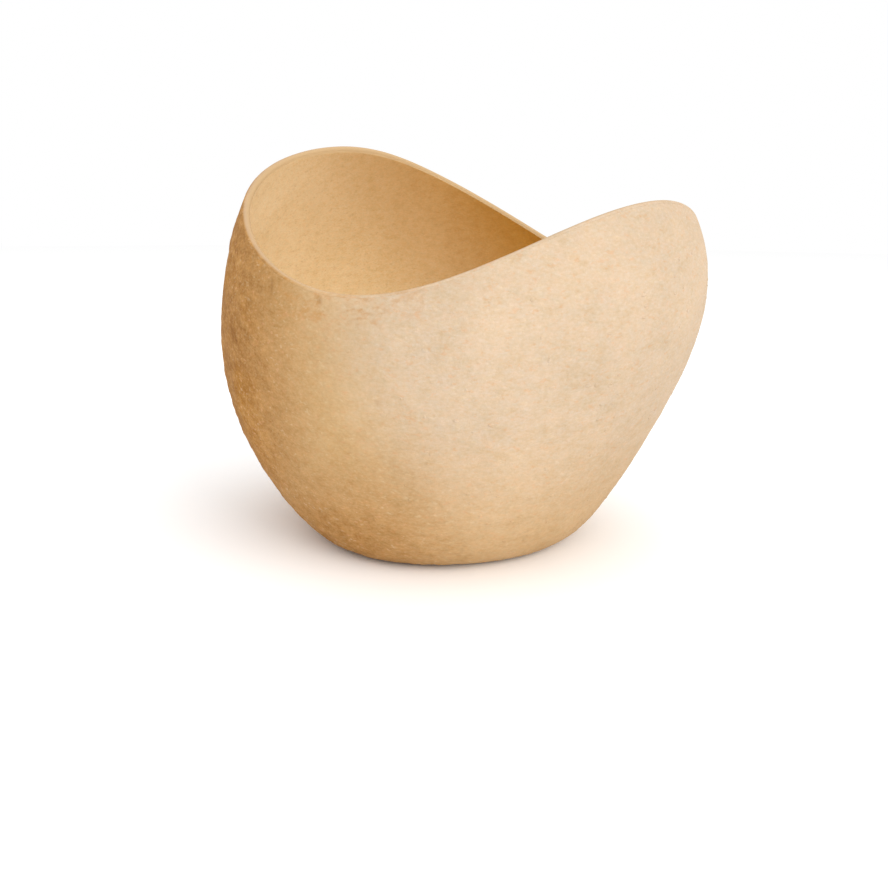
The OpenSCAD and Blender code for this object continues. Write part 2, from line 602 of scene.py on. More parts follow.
class CrumbTree:
    """Geometry Nodes that settle small crumbs of fibre on the outside of the shell."""

    SIZES = {
        "crumb size": "Float",
        "crumbs per square metre": "Float",
        "seed": "Int",
        "material": "Material",
    }
    SMALLEST = (0.35, 0.35, 0.10)
    LARGEST = (1.35, 0.95, 0.24)
    LEAST_RELIEF = 0.9
    LOWEST = 0.04
    HIGHEST = 0.97

    def __init__(self) -> None:
        """Builds the tree."""
        self.tree = self.build()

    def build(self) -> bpy.types.NodeTree:
        """Builds the modifier's tree.

        Returns:
            The node tree.
        """
        sockets = {"mesh": "Geometry"} | self.SIZES
        graph, start, end = new_tree("pulp_crumbs", "GeometryNodeTree", sockets, {"mesh": "Geometry"})
        climb = graph.trait(Trait.CLIMB)
        rough = graph.math("GREATER_THAN", graph.trait(Trait.RELIEF), self.LEAST_RELIEF)
        above = graph.math("GREATER_THAN", climb, self.LOWEST)
        below = graph.math("LESS_THAN", climb, self.HIGHEST)
        points = graph.node(
            "GeometryNodeDistributePointsOnFaces",
            {
                "Mesh": start.outputs["mesh"],
                "Selection": graph.product(rough, above, below),
                "Density": start.outputs["crumbs per square metre"],
                "Seed": start.outputs["seed"],
            },
        )
        radius = start.outputs["crumb size"]
        crumb = graph.node("GeometryNodeMeshIcoSphere", {"Radius": radius, "Subdivisions": 2})
        size = graph.node("FunctionNodeRandomValue", data_type="FLOAT_VECTOR")
        graph.feed(size.inputs[0], self.SMALLEST)
        graph.feed(size.inputs[1], self.LARGEST)
        graph.feed(size.inputs["Seed"], start.outputs["seed"])
        placed = graph.node(
            "GeometryNodeInstanceOnPoints",
            {
                "Points": points.outputs["Points"],
                "Instance": crumb.outputs["Mesh"],
                "Rotation": points.outputs["Rotation"],
                "Scale": size.outputs[0],
            },
        )
        whole = graph.node("GeometryNodeRealizeInstances", {"Geometry": placed.outputs["Instances"]})
        dressed = graph.node(
            "GeometryNodeSetMaterial",
            {"Geometry": whole.outputs["Geometry"], "Material": start.outputs["material"]},
        )
        graph.feed(end.inputs["mesh"], dressed.outputs["Geometry"])
        return graph.tree


def run_trees(name: str, mesh: bpy.types.Mesh, stages: list[Stage]) -> bpy.types.Object:
    """Runs geometry trees on a mesh, one after another, and keeps the plain result.

    Args:
        name: The finished piece's name.
        mesh: The mesh to start from.
        stages: Each tree, with the value of each of its named inputs.

    Returns:
        The piece, with no modifier left on it.
    """
    piece = bpy.data.objects.new(name, mesh)
    bpy.context.scene.collection.objects.link(piece)
    for tree, values in stages:
        modifier = piece.modifiers.new(tree.name, "NODES")
        modifier.node_group = tree
        items = tree.interface.items_tree
        named = {item.name: item.identifier for item in items if item.in_out == "INPUT"}
        for label, value in values.items():
            modifier[named[label]] = value
    graph = bpy.context.evaluated_depsgraph_get()
    solved = piece.evaluated_get(graph)
    final = bpy.data.meshes.new_from_object(solved, preserve_all_data_layers=True, depsgraph=graph)
    piece.modifiers.clear()
    piece.data = final
    final.name = name
    bpy.data.meshes.remove(mesh)
    final.shade_smooth()
    return piece


# ---- section meshes --------------------------------------------------------------------------------


@dataclass(frozen=True)
class Station:
    """One point of a wall section.

    Climb runs from 0 at the foot to 1 at the rim. Depth is measured in from the outer face, rise on
    past the wall's end, and inward towards the dish's axis. Relief says how much roughness it takes.
    """

    climb: float
    depth: float = 0.0
    rise: float = 0.0
    inward: float = 0.0
    relief: float = 0.0


@dataclass
class SectionMesh:
    """A mesh with one section at each turn round the dish, before its points are put in place."""

    name: str
    stations: list[Station]
    turns: int
    closed: bool

    def build(self) -> bpy.types.Mesh:
        """Makes the mesh and stores each point's values on it.

        Returns:
            The mesh, with all its points still at the origin.
        """
        rows = len(self.stations)
        faces = ring_faces(rows, self.turns, self.closed)
        mesh = bpy.data.meshes.new(self.name)
        mesh.from_pydata([(0.0, 0.0, 0.0)] * (rows * self.turns), [], faces)
        angles = np.repeat(np.arange(self.turns) * 2 * math.pi / self.turns, rows)
        self.store(mesh, Trait.TURN, np.where(angles > math.pi, angles - 2 * math.pi, angles))
        for trait in (Trait.CLIMB, Trait.DEPTH, Trait.RISE, Trait.INWARD, Trait.RELIEF):
            values = [getattr(station, trait.value) for station in self.stations]
            self.store(mesh, trait, np.tile(values, self.turns))
        return mesh

    @staticmethod
    def store(mesh: bpy.types.Mesh, trait: Trait, values: np.ndarray) -> None:
        """Stores one value for each point of a mesh."""
        attribute = mesh.attributes.new(trait.value, "FLOAT", "POINT")
        attribute.data.foreach_set("value", np.asarray(values, np.float32))


def ring_faces(rows: int, turns: int, closed: bool) -> list[tuple[int, int, int, int]]:
    """Returns the four-sided faces between the sections round the dish.

    Args:
        rows: How many points each section has.
        turns: How many sections there are.
        closed: Whether a section's last point is joined to its first.
    """
    faces = []
    for j in range(turns):
        here, there = j * rows, (j + 1) % turns * rows
        for i in range(rows if closed else rows - 1):
            above = (i + 1) % rows
            faces.append((here + i, here + above, there + above, there + i))
    return faces


def steps(count: int) -> list[float]:
    """Returns evenly spaced values from 0 to 1, with both ends."""
    return [i / count for i in range(count + 1)]


def steps_to_edge(count: int) -> list[float]:
    """Returns even steps with one more just before 1, which keeps the shading of a face's edge."""
    return steps(count)[:-1] + [1.0 - EDGE_STEP, 1.0]


def ease(value: float, low: float, high: float) -> float:
    """Returns 0 below low, 1 above high, and a smooth step between."""
    x = min(max((value - low) / (high - low), 0.0), 1.0)
    return x * x * (3 - 2 * x)


# ---- finishes --------------------------------------------------------------------------------------


class SharedEffects:
    """Shader node groups that more than one material uses.

    Each noise has the name of its size, a factor on that size, a step from the group's seed, a
    detail and a roughness. Each mask has its noise and the span of it that the mask rises over.
    """

    LEVEL = (1.0, 1.0, 1.7)
    NOISES = {
        "clouds": ("cloud size", 1.0, 0.0, 3.0, 0.6),
        "blotches": ("blotch size", 1.0, 5.0, 4.0, 0.68),
        "grain": ("grain size", 1.0, 9.0, 3.0, 0.7),
        "flecks": ("grain size", 1.6, 15.0, 2.0, 0.6),
        "hue": ("grain size", 1.6, 27.0, 2.0, 0.6),
    }
    TONE_SHARES = {"clouds": 0.8, "blotches": 1.0, "grain": 0.75}
    MASKS = {
        "clouds": ("clouds", 0.36, 0.66),
        "blotches": ("blotches", 0.44, 0.68),
        "flecks": ("flecks", 0.57, 0.70),
        "specks": ("flecks", 0.42, 0.29),
    }
    PIT_SPAN = (0.05, 0.38, 1.0, 0.0)
    PIT_DEPTH = 0.4

    def __init__(self) -> None:
        """Builds both groups."""
        self.mottle = self.build_mottle()
        self.grain = self.build_grain()

    def build_mottle(self) -> bpy.types.NodeTree:
        """Builds the uneven tone of pulp: broad clouds, level blotches and fine grain.

        Returns:
            The node group. Its tone is a factor near 1, its hue is near 0, and its other outputs
            are masks from 0 to 1.
        """
        inputs = ("cloud size", "blotch size", "grain size", "contrast", "seed")
        sockets = {"place": "Vector"} | {name: "Float" for name in inputs}
        outputs = {name: "Float" for name in ("tone", "hue", *self.MASKS)}
        graph, start, end = new_tree("mottle", "ShaderNodeTree", sockets, outputs)
        place = start.outputs["place"]
        level = graph.vector("MULTIPLY", place, self.LEVEL)
        noises = {}
        for name, (size, factor, step, detail, rough) in self.NOISES.items():
            where = place if name == "clouds" else level
            seed = graph.math("ADD", start.outputs["seed"], step)
            scaled = graph.product(start.outputs[size], factor)
            noises[name] = graph.noise(where, scaled, seed, detail, rough)
        swing: Value = -sum(self.TONE_SHARES.values()) / 2
        for name, share in self.TONE_SHARES.items():
            swing = graph.math("ADD", swing, graph.product(noises[name], share))
        swing = graph.product(swing, start.outputs["contrast"])
        graph.feed(end.inputs["tone"], graph.math("ADD", 1.0, swing))
        graph.feed(end.inputs["hue"], graph.math("SUBTRACT", noises["hue"], 0.5))
        for mask, (noise, low, high) in self.MASKS.items():
            graph.feed(end.inputs[mask], graph.span(noises[noise], low, high))
        return graph.tree

    def build_grain(self) -> bpy.types.NodeTree:
        """Builds the fine fibre grain and the pin pits.

        Returns:
            The node group, whose outputs are a height and the pits' mask.
        """
        inputs = ("grain size", "pit size", "pit share", "seed")
        sockets = {"place": "Vector"} | {name: "Float" for name in inputs}
        outputs = {"height": "Float", "pits": "Float"}
        graph, start, end = new_tree("fibre_grain", "ShaderNodeTree", sockets, outputs)
        place, seed = start.outputs["place"], start.outputs["seed"]
        coarse = graph.noise(place, start.outputs["grain size"], seed, 4.0, 0.62)
        scale = graph.math("DIVIDE", 1.0, start.outputs["pit size"])
        inputs = {"Vector": place, "W": seed, "Scale": scale}
        cells = graph.node("ShaderNodeTexVoronoi", inputs, voronoi_dimensions="4D")
        chosen = graph.math("LESS_THAN", cells.outputs["Color"], start.outputs["pit share"])
        pits = graph.product(graph.span(cells.outputs["Distance"], *self.PIT_SPAN), chosen)
        height = graph.math("SUBTRACT", coarse, graph.product(pits, self.PIT_DEPTH))
        graph.feed(end.inputs["pits"], pits)
        graph.feed(end.inputs["height"], height)
        return graph.tree


@dataclass(frozen=True)
class Finish:
    """What all the dish's finishes share: a matte shader, an uneven tone and a fine bump."""

    name: str
    seed: float
    roughness: float = 0.92
    bump_strength: float = 0.7
    bump_height: float = 0.5 * MM
    cloud_size: float = 38 * MM
    blotch_size: float = 8 * MM
    grain_size: float = 1.7 * MM
    contrast: float = 0.46
    warmth: tuple[float, float, float] = (0.75, 1.1, 1.9)
    hue_swing: tuple[float, float, float] = (0.12, -0.06, -0.24)
    pit_size: float = 2.2 * MM
    pit_share: float = 0.10
    fleck_gloss: float = 0.08

    def start(self) -> tuple[bpy.types.Material, Graph, bpy.types.Node]:
        """Makes the material.

        Returns:
            The material, its graph, and its shader node.
        """
        material = bpy.data.materials.new(self.name)
        material.use_nodes = True
        material.node_tree.nodes.clear()
        graph = Graph(material.node_tree)
        shader = graph.node("ShaderNodeBsdfPrincipled", {"Specular IOR Level": 0.2})
        graph.node("ShaderNodeOutputMaterial", {"Surface": shader.outputs["BSDF"]})
        return material, graph, shader

    @staticmethod
    def place(graph: Graph) -> Socket:
        """Returns the point's own place on the dish."""
        return graph.node("ShaderNodeTexCoord").outputs["Object"]

    @staticmethod
    def trait(graph: Graph, trait: Trait) -> Socket:
        """Returns a value stored on the mesh's points, in a material."""
        made = graph.node("ShaderNodeAttribute", attribute_name=trait.value, attribute_type="GEOMETRY")
        return made.outputs["Fac"]

    def warmed(self, graph: Graph, tone: Socket, hue: Socket) -> Socket:
        """Turns a tone into a tint that grows warmer as it grows darker.

        Args:
            graph: The material's graph.
            tone: A factor near 1.
            hue: How much redder or bluer the tint is, near 0.

        Returns:
            The tint, by which a colour is multiplied.
        """
        powers = [graph.math("POWER", tone, power) for power in self.warmth]
        swings = [graph.math("ADD", 1.0, graph.product(hue, swing)) for swing in self.hue_swing]
        return graph.combine(*(graph.product(*pair) for pair in zip(powers, swings)))

    @staticmethod
    def coat(graph: Graph, colour: Value, layers: Iterable[tuple[Value, Value, Value]]) -> Socket:
        """Lays colours over a colour.

        Args:
            graph: The material's graph.
            colour: The colour underneath.
            layers: Each layer's mask, its share and its colour.

        Returns:
            The colour with every layer on it.
        """
        for mask, share, over in layers:
            colour = graph.blend(graph.product(mask, share), colour, over)
        return colour

    def group(self, graph: Graph, tree: bpy.types.NodeTree, place: Socket) -> bpy.types.Node:
        """Places a shared node group with this finish's own sizes.

        Args:
            graph: The material's graph.
            tree: The shared group, whose inputs are named as this finish's fields are.
            place: The point's own place on the dish.

        Returns:
            The group node.
        """
        made = graph.node("ShaderNodeGroup", node_tree=tree)
        for socket in made.inputs:
            field = socket.name.replace(" ", "_")
            graph.feed(socket, place if field == "place" else getattr(self, field))
        return made

    def rough(self, graph: Graph, shader: bpy.types.Node, height: Socket, flecks: Socket) -> None:
        """Sets the shader's roughness and its bump.

        Args:
            graph: The material's graph.
            shader: The shader node.
            height: The height that the bump follows.
            flecks: The mask of the flecks, which are a little smoother.
        """
        inputs = {"Strength": self.bump_strength, "Distance": self.bump_height, "Height": height}
        bump = graph.node("ShaderNodeBump", inputs)
        smoother = self.roughness - self.fleck_gloss
        roughness = graph.span(flecks, 0.0, 1.0, self.roughness, smoother)
        graph.feed(shader.inputs["Normal"], bump.outputs["Normal"])
        graph.feed(shader.inputs["Roughness"], roughness)


@dataclass(frozen=True)
class PulpFinish(Finish):
    """Coarse moulded pulp: pale buff, with painted light and painted shade from side to side, painted
    shade and stain towards the foot, and brown hollows that are partly dirt and partly painted shade.
    """

    pale: Colour = (0.555, 0.430, 0.308)
    buff: Colour = (0.57, 0.375, 0.180)
    # Painted shade: the dark orange-brown laid on the side of the wall that faces away from the key
    # lamp.
    toasted: Colour = (0.335, 0.142, 0.020)
    blotch: Colour = (0.42, 0.205, 0.055)
    fleck: Colour = (0.58, 0.31, 0.150)
    speck: Colour = (0.68, 0.53, 0.34)
    brown: Colour = (0.24, 0.110, 0.025)
    # Painted light and shade: the colour goes from saturated buff to paler along this direction,
    # towards the key lamp and the top.
    pale_direction: Colour = (0.70, 0.35, 0.25)
    pale_span: tuple[float, float] = (-0.004, 0.044)
    # Direction and spans of the painted shade side, where the wall faces away from the key lamp.
    toast_direction: Colour = (-0.72, -0.69, 0.0)
    toast_span: tuple[float, float] = (0.036, 0.103)
    side_span: tuple[float, float] = (-0.02, 0.05)
    # Painted shade on the side nearest the key lamp, which holds that side back from over-brightening.
    shade_span: tuple[float, float] = (-0.085, -0.010)
    # Low down the wall is more buff and the foot browner: partly painted shade beneath the wall and
    # partly stain.
    low_top: float = 0.085
    foot_band: float = 0.085
    rim_band: tuple[float, float] = (0.88, 0.97)
    side_shares: tuple[float, float] = (0.1, 0.85)
    blotch_shares: tuple[float, float] = (0.12, 0.6)
    rim_share: float = 0.75
    cloud_share: float = 0.25
    low_share: float = 0.8
    toast_share: float = 0.80
    toast_contrast: float = 3.0
    fleck_share: float = 0.35
    speck_share: float = 0.22
    pit_shade: float = 0.12
    hollow_shade: float = 0.60
    foot_shade: float = 0.85
    far_shade: float = 0.88

    def colour(
        self, graph: Graph, place: Socket, effects: SharedEffects
    ) -> tuple[Socket, Socket, Socket]:
        """Builds the pulp's colour.

        Args:
            graph: The material's graph.
            place: The point's own place on the dish.
            effects: The shared node groups.

        Returns:
            The colour, the bump's height and the flecks' mask.
        """
        mottle = self.group(graph, effects.mottle, place)
        grain = self.group(graph, effects.grain, place)
        tone, hue, clouds, blotches, flecks, specks = mottle.outputs
        climb, hollow = self.trait(graph, Trait.CLIMB), self.trait(graph, Trait.HOLLOW)
        height = graph.node("ShaderNodeSeparateXYZ", {0: place}).outputs["Z"]
        along_lit_side = graph.measure("DOT_PRODUCT", place, self.pale_direction)
        along_shade_side = graph.measure("DOT_PRODUCT", place, self.toast_direction)
        side = graph.span(along_shade_side, *self.side_span, *self.side_shares)
        # Low down the wall: more buff colour, partly painted shade and partly stain.
        low = graph.span(height, 0.0, self.low_top, 1.0, 0.0)
        # Painted shade on the side away from the key lamp, and low down on that side.
        painted_side_shade = graph.span(along_shade_side, *self.toast_span)
        painted_side_shade = graph.math("MAXIMUM", painted_side_shade, graph.product(low, side))
        ragged = graph.product(graph.span(climb, *self.rim_band, 0.0, self.rim_share), side)
        ragged = graph.math("ADD", ragged, graph.span(painted_side_shade, 0.0, 1.0, *self.blotch_shares))

        # Painted light and shade: buff on the shaded side, paler towards the key lamp and the top.
        colour = graph.blend(graph.span(along_lit_side, *self.pale_span), self.buff, self.pale)
        colour = self.coat(graph, colour, (
            (clouds, self.cloud_share, self.buff),
            (low, self.low_share, self.buff),
            (painted_side_shade, graph.span(clouds, 0.0, 1.0, self.toast_share, 1.0), self.toasted),
            (blotches, ragged, self.blotch),
            (flecks, self.fleck_share, self.fleck),
            (specks, self.speck_share, self.speck),
        ))
        # The mottle's contrast grows within the painted shade.
        stronger = graph.span(painted_side_shade, 0.0, 1.0, 1.0, self.toast_contrast)
        swing = graph.product(graph.math("SUBTRACT", tone, 1.0), stronger)
        tint = self.warmed(graph, graph.math("ADD", 1.0, swing), hue)
        # Painted shade: darker on the side that faces the key lamp.
        shade = graph.span(along_shade_side, *self.shade_span, self.far_shade, 1.0)
        colour = graph.tinted(graph.tinted(colour, tint), shade)
        colour = self.coat(graph, colour, (
            (grain.outputs["pits"], self.pit_shade, self.brown),
            # Creases and dents in brown: partly dirt and partly painted shade.
            (hollow, self.hollow_shade, self.brown),
            # Foot band in brown on the shaded side: partly painted shade and partly stain.
            (graph.span(climb, 0.0, self.foot_band, self.foot_shade, 0.0), side, self.brown),
        ))
        return colour, grain.outputs["height"], flecks

    def build(self, effects: SharedEffects) -> bpy.types.Material:
        """Builds the material.

        Args:
            effects: The shared node groups.

        Returns:
            The material.
        """
        material, graph, shader = self.start()
        colour, height, flecks = self.colour(graph, self.place(graph), effects)
        graph.feed(shader.inputs["Base Color"], colour)
        self.rough(graph, shader, height, flecks)
        return material


@dataclass(frozen=True)
class BindingFinish(PulpFinish):
    """The rim's strip: like the shell outside and the lining inside, and a little paler on top."""

    top: Colour = (0.49, 0.345, 0.21)
    top_span: tuple[float, float] = (0.6 * MM, 1.7 * MM)
    skin: Colour = (0.49, 0.33, 0.17)
    skin_root: Colour = (0.76, 0.58, 0.33)
    root_span: tuple[float, float] = (0.1 * MM, 1.3 * MM)
    skin_span: tuple[float, float] = (1.0 * MM, 2.2 * MM)
    top_share: float = 0.8
    skin_share: float = 0.9

    def build(self, effects: SharedEffects) -> bpy.types.Material:
        """Builds the material.

        Args:
            effects: The shared node groups.

        Returns:
            The material.
        """
        material, graph, shader = self.start()
        colour, height, flecks = self.colour(graph, self.place(graph), effects)
        rise = self.trait(graph, Trait.RISE)
        skin = graph.blend(graph.span(rise, *self.root_span), self.skin_root, self.skin)
        inner = graph.span(self.trait(graph, Trait.DEPTH), *self.skin_span)
        colour = self.coat(graph, colour, (
            (graph.span(rise, *self.top_span), self.top_share, self.top),
            (inner, self.skin_share, skin),
        ))
        graph.feed(shader.inputs["Base Color"], colour)
        self.rough(graph, shader, height, flecks)
        return material


@dataclass(frozen=True)
class SkinFinish(Finish):
    """Smooth paper skin: an even gold with painted shade that deepens it upwards and to one side, and
    fine dashes.
    """

    roughness: float = 0.78
    bump_strength: float = 0.35
    bump_height: float = 0.25 * MM
    cloud_size: float = 60 * MM
    blotch_size: float = 5 * MM
    grain_size: float = 1.3 * MM
    contrast: float = 0.50
    pit_size: float = 2.0 * MM
    pit_share: float = 0.04
    fair: Colour = (0.84, 0.668, 0.405)
    # Painted shade: the deep gold laid upwards and on the inner walls that face away from the key lamp.
    deep: Colour = (0.475, 0.222, 0.024)
    dash: Colour = (0.42, 0.24, 0.09)
    deep_direction: Colour = (0.62, 0.55, 0.55)
    deep_span: tuple[float, float] = (-0.003, 0.128)
    dash_share: float = 0.20
    blotch_share: float = 0.08

    def build(self, effects: SharedEffects) -> bpy.types.Material:
        """Builds the material.

        Args:
            effects: The shared node groups.

        Returns:
            The material.
        """
        material, graph, shader = self.start()
        place = self.place(graph)
        mottle = self.group(graph, effects.mottle, place)
        grain = self.group(graph, effects.grain, place)
        tone, hue, _, blotches, flecks, _ = mottle.outputs
        # Painted shade: the gold deepens upwards and towards the tip's side.
        along_inner_shade = graph.measure("DOT_PRODUCT", place, self.deep_direction)
        colour = graph.blend(graph.span(along_inner_shade, *self.deep_span), self.fair, self.deep)
        layers = ((blotches, self.blotch_share, self.dash), (flecks, self.dash_share, self.dash))
        colour = self.coat(graph, colour, layers)
        graph.feed(shader.inputs["Base Color"], graph.tinted(colour, self.warmed(graph, tone, hue)))
        self.rough(graph, shader, grain.outputs["height"], flecks)
        return material


# ---- sub-parts -------------------------------------------------------------------------------------


@dataclass
class DishPiece:
    """What every sub-part shares: its name, its CAD node, its slot and how it is handed over."""

    name: str
    part: Part
    slot: Slot
    form: DishForm

    def hand_over(self, piece: bpy.types.Object, stands_for: bool = True) -> bpy.types.Object:
        """Ties a finished piece to the frame and reports it.

        Args:
            piece: The finished piece.
            stands_for: Whether the piece takes the place of its CAD node.

        Returns:
            The same piece.
        """
        for trait in Trait:
            if trait not in KEPT_TRAITS and trait.value in piece.data.attributes:
                piece.data.attributes.remove(piece.data.attributes[trait.value])
        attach(piece, BODY)
        if stands_for:
            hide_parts(self.part.value)
        log.info("%s: %d faces", piece.name, len(piece.data.polygons))
        return piece

    def grown(self, mesh: bpy.types.Mesh, wall: WallTree, roughening: Stage) -> bpy.types.Object:
        """Places a section mesh on the wall and roughens it.

        Args:
            mesh: The section mesh.
            wall: The tree that places its points.
            roughening: The tree that roughens it, with its inputs.

        Returns:
            The piece, with its values still stored on it.
        """
        return run_trees(self.name, mesh, [(wall.tree, wall.inputs()), roughening])


@dataclass
class OuterShell(DishPiece):
    """The coarse pulp wall, with its crumbs."""

    turns: int = 480
    outer_rows: int = 156
    inner_rows: int = 44
    rounding: float = 0.5 * MM
    crumb_size: float = 1.0 * MM
    crumb_density: float = 5200.0
    crumb_seed: int = 4

    def stations(self) -> list[Station]:
        """Returns the section: up the inner face, down the outer one, and round the hole's edge.

        Returns:
            The section's points, in order.
        """
        hole = self.form.foot_land - self.form.glue_gap
        thick = self.form.shell_t
        inner = [Station(t, depth=thick) for t in steps(self.inner_rows)]
        outer = []
        for t in reversed(steps_to_edge(self.outer_rows)):
            outer.append(Station(t, relief=ease(t, 0.03, 0.16) * ease(1 - t, 0.0, 0.09)))
        edge = [
            Station(0.0, inward=hole - self.rounding),
            Station(0.0, depth=self.rounding, inward=hole),
            Station(0.0, depth=thick, inward=hole),
        ]
        return inner + outer + edge

    def build(
        self, wall: WallTree, relief: ReliefTree, material: bpy.types.Material
    ) -> bpy.types.Object:
        """Builds the wall.

        Args:
            wall: The tree that places its points.
            relief: The tree that roughens it.
            material: Its finish.

        Returns:
            The wall's piece, with its values still stored on it.
        """
        mesh = SectionMesh("shell_section", self.stations(), self.turns, closed=True).build()
        return self.grown(mesh, wall, relief.stage(Relief(), material))

    def build_crumbs(
        self, shell: bpy.types.Object, crumbs: CrumbTree, material: bpy.types.Material
    ) -> bpy.types.Object:
        """Settles crumbs of fibre on the finished wall.

        Args:
            shell: The wall's piece.
            crumbs: The tree that scatters them.
            material: Their finish.

        Returns:
            The crumbs, as one piece.
        """
        values = {
            "crumb size": self.crumb_size,
            "crumbs per square metre": self.crumb_density,
            "seed": self.crumb_seed,
            "material": material,
        }
        return run_trees("pulp_crumbs", shell.data.copy(), [(crumbs.tree, values)])


@dataclass
class InnerLining(DishPiece):
    """The smooth skin over the whole of the inside."""

    turns: int = 480
    floor_rows: int = 18
    wall_rows: int = 120
    back_rows: int = 44
    relief: Relief = Relief(
        broad_height=0.30 * MM, lump_height=0.05 * MM, crease_depth=0.0, dent_depth=0.0, seed=31.0
    )

    def build(
        self, wall: WallTree, relief: ReliefTree, material: bpy.types.Material
    ) -> bpy.types.Object:
        """Builds the skin, out from the middle of the floor, up to the rim, and back behind.

        Args:
            wall: The tree that places its points.
            relief: The tree that roughens it.
            material: Its finish.

        Returns:
            The skin's piece.
        """
        foot, front, back = self.form.foot_r, self.form.wall_t, self.form.shell_t
        inwards = [foot * (1 - s) for s in steps(self.floor_rows)[:-1]]
        floor = [Station(0.0, front, inward=inward, relief=1.0) for inward in inwards]
        face = [Station(t, front, relief=ease(1 - t, 0.0, 0.2)) for t in steps_to_edge(self.wall_rows)]
        behind = [Station(t, back) for t in reversed(steps(self.back_rows))]
        middle = [Station(0.0, back, inward=foot)]
        section = floor + face + behind + middle
        mesh = SectionMesh("lining_section", section, self.turns, closed=False).build()
        return self.grown(mesh, wall, relief.stage(self.relief, material))


@dataclass
class RimBinding(DishPiece):
    """The pale rounded strip that closes the edges of the shell and the lining."""

    turns: int = 720
    bead_rows: int = 26
    fullness: float = 0.9
    relief: Relief = Relief(
        broad_size=22 * MM, broad_height=0.10 * MM, lump_size=5 * MM, lump_height=0.08 * MM,
        crease_depth=0.0, dent_depth=0.0, seed=53.0,
    )

    def build(
        self, wall: WallTree, relief: ReliefTree, material: bpy.types.Material
    ) -> bpy.types.Object:
        """Builds the strip as a full rounded bead on the wall's end.

        Args:
            wall: The tree that places its points.
            relief: The tree that roughens it.
            material: Its finish.

        Returns:
            The strip's piece.
        """
        half = self.form.wall_t / 2
        stations = [Station(1.0, self.form.shell_t)]
        for s in steps(self.bead_rows):
            turn = math.pi * s
            side = math.copysign(abs(math.cos(turn)) ** self.fullness, math.cos(turn))
            rise = self.form.binding_h * max(math.sin(turn), 0.0) ** self.fullness
            depth = half * (1 + side)
            relief_share = ease(rise, 0.0, self.form.binding_h / 2)
            stations.append(Station(1.0, depth, rise=rise, relief=relief_share))
        mesh = SectionMesh("binding_section", stations, self.turns, closed=True).build()
        return self.grown(mesh, wall, relief.stage(self.relief, material))


@dataclass
class BaseDisc(DishPiece):
    """The pressed disc that closes the foot."""

    turns: int = 240
    rings: int = 40
    rounding: float = 0.6 * MM
    rounding_rows: int = 4
    hollow: float = 0.35 * MM
    hollow_run: float = 0.25
    dimple_height: float = 0.06 * MM
    weld_distance: float = 0.01 * MM

    def build(self, relief: ReliefTree, material: bpy.types.Material) -> bpy.types.Object:
        """Builds the disc, with a very slightly hollow underside and rounded edges.

        Args:
            relief: The tree that gives it its material.
            material: Its finish.

        Returns:
            The disc's piece.
        """
        _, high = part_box(Part.DISC.value)
        radius, height, edge = high.x, high.z, self.rounding
        flat = radius - edge
        top = [(flat * (1 - s), height) for s in reversed(steps(4))]
        quarter = [math.pi / 2 * s for s in steps(self.rounding_rows)]
        upper = [(flat + edge * math.sin(q), height - edge + edge * math.cos(q)) for q in quarter[1:]]
        lower = [(flat + edge * math.cos(q), edge - edge * math.sin(q)) for q in quarter]
        under = []
        for s in steps(self.rings)[1:]:
            rise = self.hollow * math.sin(math.pi / 2 * ease(s, 0, self.hollow_run))
            under.append((flat * (1 - s), rise))
        profile = top + upper + lower + under
        angles = np.arange(self.turns) * 2 * math.pi / self.turns
        points = []
        for angle in angles:
            for reach, z in profile:
                x, y = reach * math.cos(angle), reach * math.sin(angle)
                points.append((x, y, z + self.dimple(x, y, z, flat)))
        mesh = bpy.data.meshes.new("disc_section")
        mesh.from_pydata(points, [], ring_faces(len(profile), self.turns, closed=False))
        SectionMesh.store(mesh, Trait.CLIMB, np.full(len(points), 0.5))
        still = Relief(broad_height=0.0, lump_height=0.0, crease_depth=0.0, dent_depth=0.0)
        piece = run_trees(self.name, mesh, [relief.stage(still, material)])
        weld(piece.data, self.weld_distance)
        return piece

    def dimple(self, x: float, y: float, z: float, flat: float) -> float:
        """Returns how far the underside is pressed up at a point, in shallow uneven dimples."""
        if z > self.hollow or math.hypot(x, y) > flat:
            return 0.0
        across = math.sin(x * 420 + 1.7 * math.sin(y * 310))
        along = math.sin(y * 390 + 1.3 * math.sin(x * 270))
        return self.dimple_height * (1 + across * along)


def weld(mesh: bpy.types.Mesh, distance: float) -> None:
    """Joins a mesh's points that lie within a distance of each other."""
    work = bmesh.new()
    work.from_mesh(mesh)
    bmesh.ops.remove_doubles(work, verts=work.verts, dist=distance)
    work.to_mesh(mesh)
    work.free()
    mesh.shade_smooth()


# ---- studio ----------------------------------------------------------------------------------------


